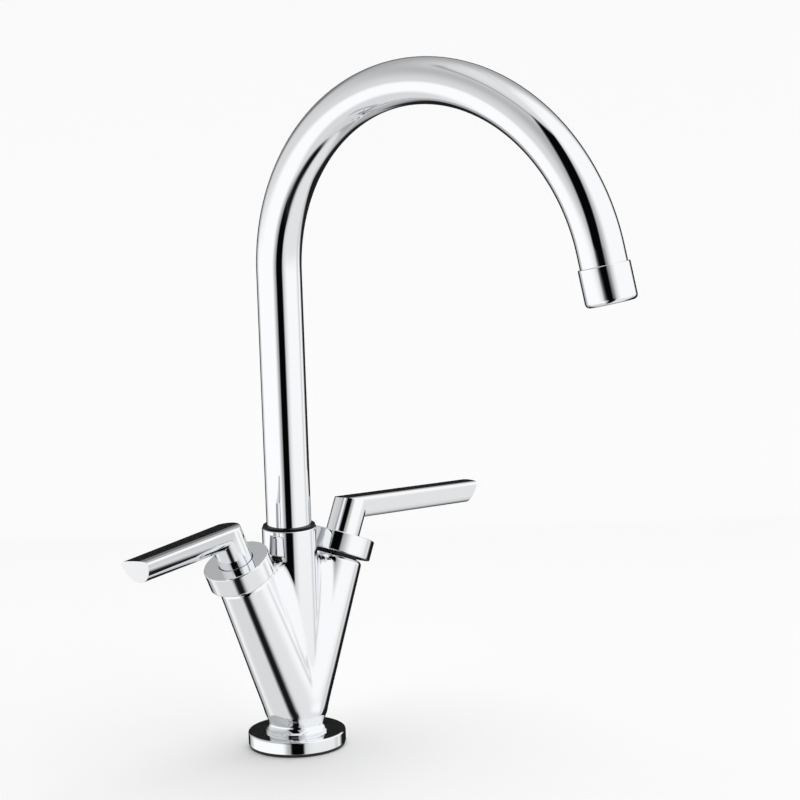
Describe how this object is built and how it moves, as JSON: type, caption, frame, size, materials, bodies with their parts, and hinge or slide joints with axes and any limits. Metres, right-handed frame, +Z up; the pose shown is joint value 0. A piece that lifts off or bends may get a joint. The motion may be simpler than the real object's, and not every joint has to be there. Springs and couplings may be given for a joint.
{
  "type": "two handle kitchen faucet",
  "caption": "Two handle kitchen faucet: a V-shaped chrome body on a round flange, a high swivelling swan neck spout with an aerator, and flat-topped quarter turn levers.",
  "frame": {"origin": "centre of the base's underside, on the worktop", "axes": "+Z up along the spout's swivel axis, -Y towards the user, -X the hot side"},
  "size_m": [0.2236, 0.2259, 0.341],
  "materials": {
    "chrome_body": "bright chrome plate on cast and polished brass",
    "chrome_spout": "bright chrome plate on drawn brass tube",
    "chrome_handle": "bright chrome plate on die cast zinc",
    "brass": "turned brass",
    "ceramic": "lapped alumina",
    "steel": "stainless steel",
    "black_rubber": "moulded rubber",
    "black_plastic": "black acetal",
    "white_plastic": "pale grey acetal"
  },
  "bodies": {
    "tap_body": {"body_casting": "chrome_body", "base_flange": "chrome_body", "base_gasket": "black_rubber", "spout_bearing_ring": "black_plastic", "spout_retaining_screw": "steel", "hot_seat_seal": "black_rubber", "hot_valve_seal": "black_rubber", "hot_shroud_ring": "chrome_handle", "hot_fixed_disc": "ceramic", "hot_valve_body": "brass", "cold_seat_seal": "black_rubber", "cold_valve_seal": "black_rubber", "cold_shroud_ring": "chrome_handle", "cold_fixed_disc": "ceramic", "cold_valve_body": "brass"},
    "spout": {"spout_tube": "chrome_spout", "spout_spigot": "brass", "spout_seals": "black_rubber", "aerator_housing": "chrome_spout", "aerator_washer": "black_rubber", "aerator_insert": "white_plastic"},
    "hot_lever": {"hot_handle": "chrome_handle", "hot_handle_screw": "steel", "hot_spindle": "brass", "hot_spindle_clip": "steel", "hot_spindle_seals": "black_rubber", "hot_turning_disc": "ceramic"},
    "cold_lever": {"cold_handle": "chrome_handle", "cold_handle_screw": "steel", "cold_spindle": "brass", "cold_spindle_clip": "steel", "cold_spindle_seals": "black_rubber", "cold_turning_disc": "ceramic"}
  },
  "joints": [
    {"name": "spout_swivel", "type": "hinge", "parent": "tap_body", "child": "spout", "pos_m": [0, 0, 0.1], "axis": [0, 0, 1], "continuous": true},
    {"name": "hot_turn", "type": "hinge", "parent": "tap_body", "child": "hot_lever", "pos_m": [0, 0, 0.0194], "axis": [-0.4043, 0, 0.9146], "range_deg": [0, 90]},
    {"name": "cold_turn", "type": "hinge", "parent": "tap_body", "child": "cold_lever", "pos_m": [0, 0, 0.0194], "axis": [-0.4043, 0, -0.9146], "range_deg": [0, 90]}
  ]
}
